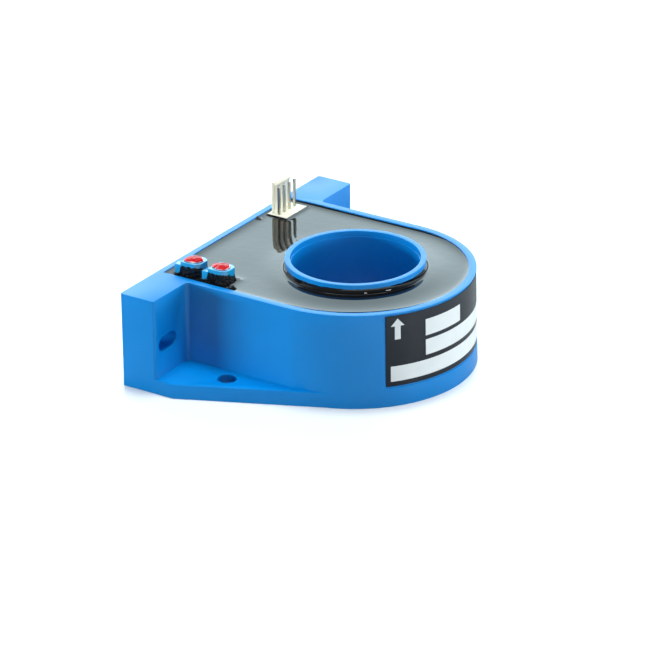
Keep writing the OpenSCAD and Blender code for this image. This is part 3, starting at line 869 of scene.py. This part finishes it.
    def camera(self, context, studio):
        """The photograph's viewpoint: azimuth, elevation, roll and distance from an aim point."""
        a, e, r = studio.azimuth, studio.elevation, studio.roll
        back = Vector((math.sin(a) * math.cos(e), -math.cos(a) * math.cos(e), math.sin(e)))
        level = Vector((math.cos(a), math.sin(a), 0))
        rise = back.cross(level)
        right = level * math.cos(r) + rise * math.sin(r)
        up = back.cross(right)
        data = bpy.data.cameras.new("photo_view")
        data.lens = studio.lens
        data.sensor_width = 36
        camera = bpy.data.objects.new("photo_view", data)
        where = Vector(studio.aim) + back * studio.distance
        turn = Matrix((right, up, back)).transposed()
        camera.matrix_world = Matrix.LocRotScale(where, turn, None)
        context.scene.collection.objects.link(camera)
        context.scene.camera = camera
        context.scene.view_settings.view_transform = "Standard"


class SENSOR_OT_case(bpy.types.Operator):
    """Blue moulded case with slightly rounded edges"""
    bl_idname = "sensor.case"
    bl_label = "Case"

    def execute(self, context):
        material = case_plastic(context.scene.sensor_colours)
        mesh = softened("housing", context.scene.sensor_sizes.edge_round)
        place("housing_moulding", mesh, material, "case_plastic", ("housing",))
        return {"FINISHED"}


class SENSOR_OT_resin(bpy.types.Operator):
    """Black potting resin with its menisci, and the resin dabbed round the trimmers"""
    bl_idname = "sensor.resin"
    bl_label = "Potting resin"

    def execute(self, context):
        sizes = context.scene.sensor_sizes
        mesh = mesh_from("resin_pour", *resin_body(sizes))
        place("resin_pour", mesh, potting_epoxy(), "resin", ("potting_resin",))
        dab = dabbed_epoxy()
        for seed, name in enumerate(TRIMMERS):
            mesh = mesh_from(name + "_resin", *skirt_body(name, sizes, 20 + 7 * seed))
            place(name + "_resin", mesh, dab, "resin")
        return {"FINISHED"}


class SENSOR_OT_label(bpy.types.Operator):
    """Dark label film with a white arrow and three blank panels"""
    bl_idname = "sensor.label"
    bl_label = "Label"

    def execute(self, context):
        colours = context.scene.sensor_colours
        thick = context.scene.sensor_sizes.print_height
        dress("label", label_film(colours))
        ink = label_ink(colours)
        for name, (angles, heights) in PANELS.items():
            patch = (
                lambda s, a=angles[0]: a + 0 * s, lambda s, b=angles[1]: b + 0 * s,
                heights[0], heights[1])
            place(name, ink_mesh(name, [patch], thick), ink, "label_film")
        a, b = ARROW_ANGLES
        middle, half = (a + b) / 2, (b - a) / 2
        low, neck, tip = ARROW_HEIGHTS
        stem = (
            lambda s: middle - half * ARROW_STEM + 0 * s, lambda s: middle + half * ARROW_STEM + 0 * s,
            low, neck + 0.01)
        head = (lambda s: middle - half * (1 - s), lambda s: middle + half * (1 - s), neck, tip)
        place("arrow", ink_mesh("arrow", [stem, head], thick), ink, "label_film")
        return {"FINISHED"}


class SENSOR_OT_header(bpy.types.Operator):
    """Ivory header wafer with its friction lock, and its four pins"""
    bl_idname = "sensor.header"
    bl_label = "Header"

    def execute(self, context):
        nylon = header_nylon(context.scene.sensor_colours)
        place("header_moulding", softened("header_wafer", 0.07), nylon, "ivory_nylon", ("header_wafer",))
        pin = tinned_brass()
        for n in range(1, 5):
            dress("header_pin_%d" % n, pin)
        return {"FINISHED"}


class SENSOR_OT_trimmers(bpy.types.Operator):
    """Trimmer bodies, rotors and the red drops that lock them"""
    bl_idname = "sensor.trimmers"
    bl_label = "Trimmers"

    def execute(self, context):
        sizes, colours = context.scene.sensor_sizes, context.scene.sensor_colours
        body, rotor, red = trimmer_plastic(colours), rotor_nylon(), locking_lacquer(colours)
        for seed, name in enumerate(TRIMMERS):
            part = name + "_body"
            place(name + "_moulding", softened(part, 0.1), body, "trimmer_plastic", (part,))
            dress(name + "_rotor", rotor)
            points, faces, thickness = varnish_body(name, sizes, 1 + seed)
            mesh = bpy.data.meshes.new(name + "_drop")
            mesh.from_pydata((points * MM).tolist(), [], faces.tolist())
            layer = mesh.attributes.new("thickness", "FLOAT", "POINT")
            layer.data.foreach_set("value", thickness.astype(np.float32))
            work = bmesh.new()
            work.from_mesh(mesh)
            bmesh.ops.remove_doubles(work, verts=work.verts, dist=2e-7)
            work.to_mesh(mesh)
            work.free()
            mesh.polygons.foreach_set("use_smooth", np.ones(len(mesh.polygons), dtype=bool))
            mesh.update()
            place(name + "_drop", mesh, red, "locking_varnish", (name + "_varnish",))
        return {"FINISHED"}


class SENSOR_OT_inside(bpy.types.Operator):
    """Core, board and small parts under the resin"""
    bl_idname = "sensor.inside"
    bl_label = "Inner parts"

    def execute(self, context):
        finishes = inner_finishes()
        for name, finish in INNER_NODES.items():
            dress(name, finishes[finish])
        return {"FINISHED"}


PIECES = (
    SENSOR_OT_stage, SENSOR_OT_case, SENSOR_OT_resin, SENSOR_OT_label, SENSOR_OT_header,
    SENSOR_OT_trimmers, SENSOR_OT_inside,
)


class SENSOR_PT_panel(bpy.types.Panel):
    """Lists the sensor's pieces, sizes, colours and light"""
    bl_idname = "SENSOR_PT_panel"
    bl_label = "Current sensor"
    bl_space_type = "VIEW_3D"
    bl_region_type = "UI"
    bl_category = "Sensor"

    def draw(self, context):
        for operator in PIECES:
            self.layout.operator(operator.bl_idname)
        for group in ("sensor_sizes", "sensor_colours", "sensor_studio"):
            column = self.layout.column()
            settings = getattr(context.scene, group)
            for key in settings.__annotations__:
                column.prop(settings, key)


CLASSES = (SensorSizes, SensorColours, SensorStudio) + PIECES + (SENSOR_PT_panel,)


def register():
    for cls in CLASSES:
        bpy.utils.register_class(cls)
    bpy.types.Scene.sensor_sizes = bpy.props.PointerProperty(type=SensorSizes)
    bpy.types.Scene.sensor_colours = bpy.props.PointerProperty(type=SensorColours)
    bpy.types.Scene.sensor_studio = bpy.props.PointerProperty(type=SensorStudio)


def unregister():
    del bpy.types.Scene.sensor_studio
    del bpy.types.Scene.sensor_colours
    del bpy.types.Scene.sensor_sizes
    for cls in reversed(CLASSES):
        bpy.utils.unregister_class(cls)


def main():
    register()
    bpy.ops.sensor.stage()
    bpy.ops.sensor.case()
    bpy.ops.sensor.resin()
    bpy.ops.sensor.label()
    bpy.ops.sensor.header()
    bpy.ops.sensor.trimmers()
    bpy.ops.sensor.inside()


if __name__ == "__main__":
    main()
